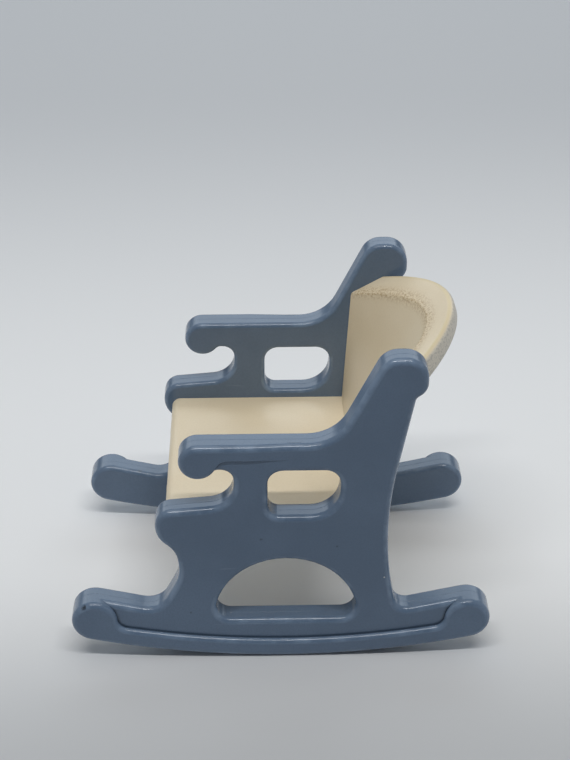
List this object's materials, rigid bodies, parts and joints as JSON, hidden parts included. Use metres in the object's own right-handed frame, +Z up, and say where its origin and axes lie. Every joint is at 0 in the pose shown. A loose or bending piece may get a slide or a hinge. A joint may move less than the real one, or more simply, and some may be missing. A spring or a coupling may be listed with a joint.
{
  "type": "miniature rocking chair",
  "caption": "Miniature rocking chair: scrolled side panels on curved runners, flat seat with a front apron, and a hollowed backrest with a flared rim.",
  "frame": {"origin": "on the floor, at the middle of the chair's length and width", "axes": "+Z up, -Y towards the front of the chair, +X towards the sitter's left"},
  "size_m": [0.0596, 0.088, 0.0712],
  "materials": {
    "blue_plastic": "slate blue, semi-gloss, a little worn",
    "cream_plastic": "aged cream white, satin"
  },
  "bodies": {
    "root": {"left_outer_half": "blue_plastic", "left_inner_half": "blue_plastic", "right_outer_half": "blue_plastic", "right_inner_half": "blue_plastic", "seat": "cream_plastic", "backrest": "cream_plastic"}
  },
  "joints": []
}
